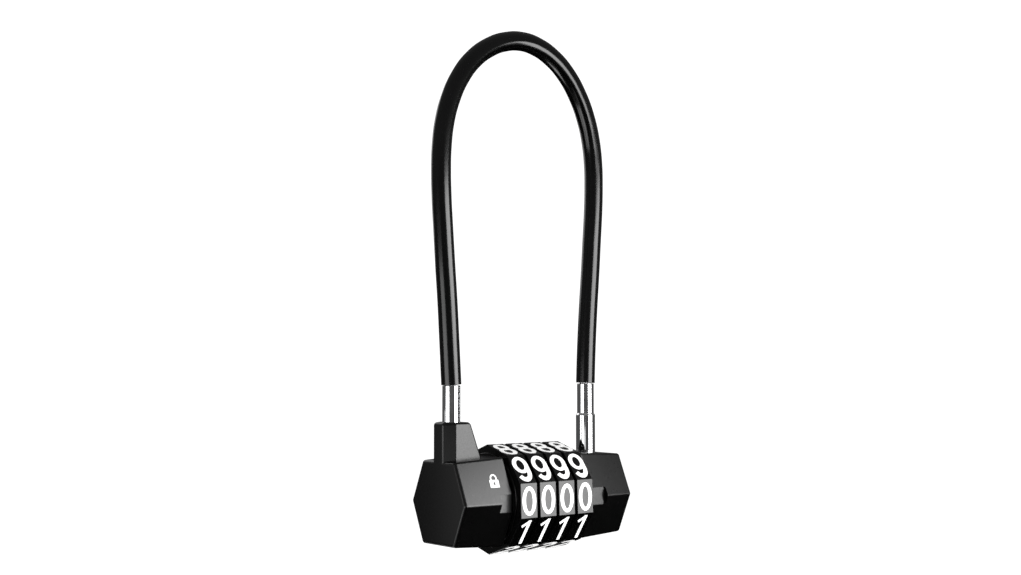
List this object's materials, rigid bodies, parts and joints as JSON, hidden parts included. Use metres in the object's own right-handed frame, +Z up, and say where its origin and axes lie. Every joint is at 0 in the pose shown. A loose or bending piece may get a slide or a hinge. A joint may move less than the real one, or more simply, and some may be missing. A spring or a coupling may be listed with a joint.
{
  "type": "combination cable lock",
  "caption": "Combination lock with a row of numbered dials between two six-sided housings and a steel cable loop in a black sheath.",
  "frame": {"origin": "inside of the cable loop's top, midway along the lock: the point that rests on whatever the lock hangs from. The dial axis is 163.06 mm below it", "axes": "+X along the dial axis towards the housing with the plug socket, +Z up from the housings to the top of the cable loop, -Y towards the person reading the digits"},
  "size_m": [0.0801, 0.0374, 0.1896],
  "materials": {
    "black_paint": "black paint with a satin shine on die-cast zinc",
    "dial_black": "black, with white digits",
    "digit_white": "white paint in the digits",
    "vinyl_sheath": "smooth shiny black vinyl",
    "chrome": "bright plated steel",
    "wire_rope": "twisted steel wire",
    "brass": "machined",
    "steel": "machined",
    "spring_steel": "drawn wire and strip"
  },
  "bodies": {
    "lock_frame": {"left_housing": "black_paint", "right_housing": "black_paint", "core_tube": "brass", "detent_spring": "spring_steel", "left_core_pin": "steel", "right_core_pin": "steel", "leg_pin": "steel", "left_washer": "steel", "right_washer": "steel", "lift_spring": "spring_steel", "return_spring": "spring_steel"},
    "dial_set_1": {"dial_1": "dial_black", "code_wheel_1": "brass"},
    "dial_set_2": {"dial_2": "dial_black", "code_wheel_2": "brass"},
    "dial_set_3": {"dial_3": "dial_black", "code_wheel_3": "brass"},
    "dial_set_4": {"dial_4": "dial_black", "code_wheel_4": "brass"},
    "cable": {"cable_sheath": "vinyl_sheath", "wire_rope": "wire_rope", "long_leg": "chrome", "plug": "chrome"},
    "latch": {"spindle": "steel", "latch_block": "brass", "latch_clip": "spring_steel"}
  },
  "joints": [
    {"name": "dial_1_turn", "type": "hinge", "parent": "lock_frame", "child": "dial_set_1", "pos_m": [-0.01308, 0, -0.16306], "axis": [1, 0, 0], "continuous": true},
    {"name": "dial_2_turn", "type": "hinge", "parent": "lock_frame", "child": "dial_set_2", "pos_m": [-0.00436, 0, -0.16306], "axis": [1, 0, 0], "continuous": true},
    {"name": "dial_3_turn", "type": "hinge", "parent": "lock_frame", "child": "dial_set_3", "pos_m": [0.00436, 0, -0.16306], "axis": [1, 0, 0], "continuous": true},
    {"name": "dial_4_turn", "type": "hinge", "parent": "lock_frame", "child": "dial_set_4", "pos_m": [0.01308, 0, -0.16306], "axis": [1, 0, 0], "continuous": true},
    {"name": "cable_lift", "type": "slide", "parent": "lock_frame", "child": "cable", "axis": [0, 0, 1], "range_m": [0, 0.015], "deforming": ["lift_spring"]},
    {"name": "latch_slide", "type": "slide", "parent": "lock_frame", "child": "latch", "axis": [-1, 0, 0], "range_m": [0, 0.0024], "deforming": ["return_spring"]}
  ],
  "couplings": [
    {"joint": "latch_slide", "follows": "cable_lift", "ratio": 0.16}
  ]
}
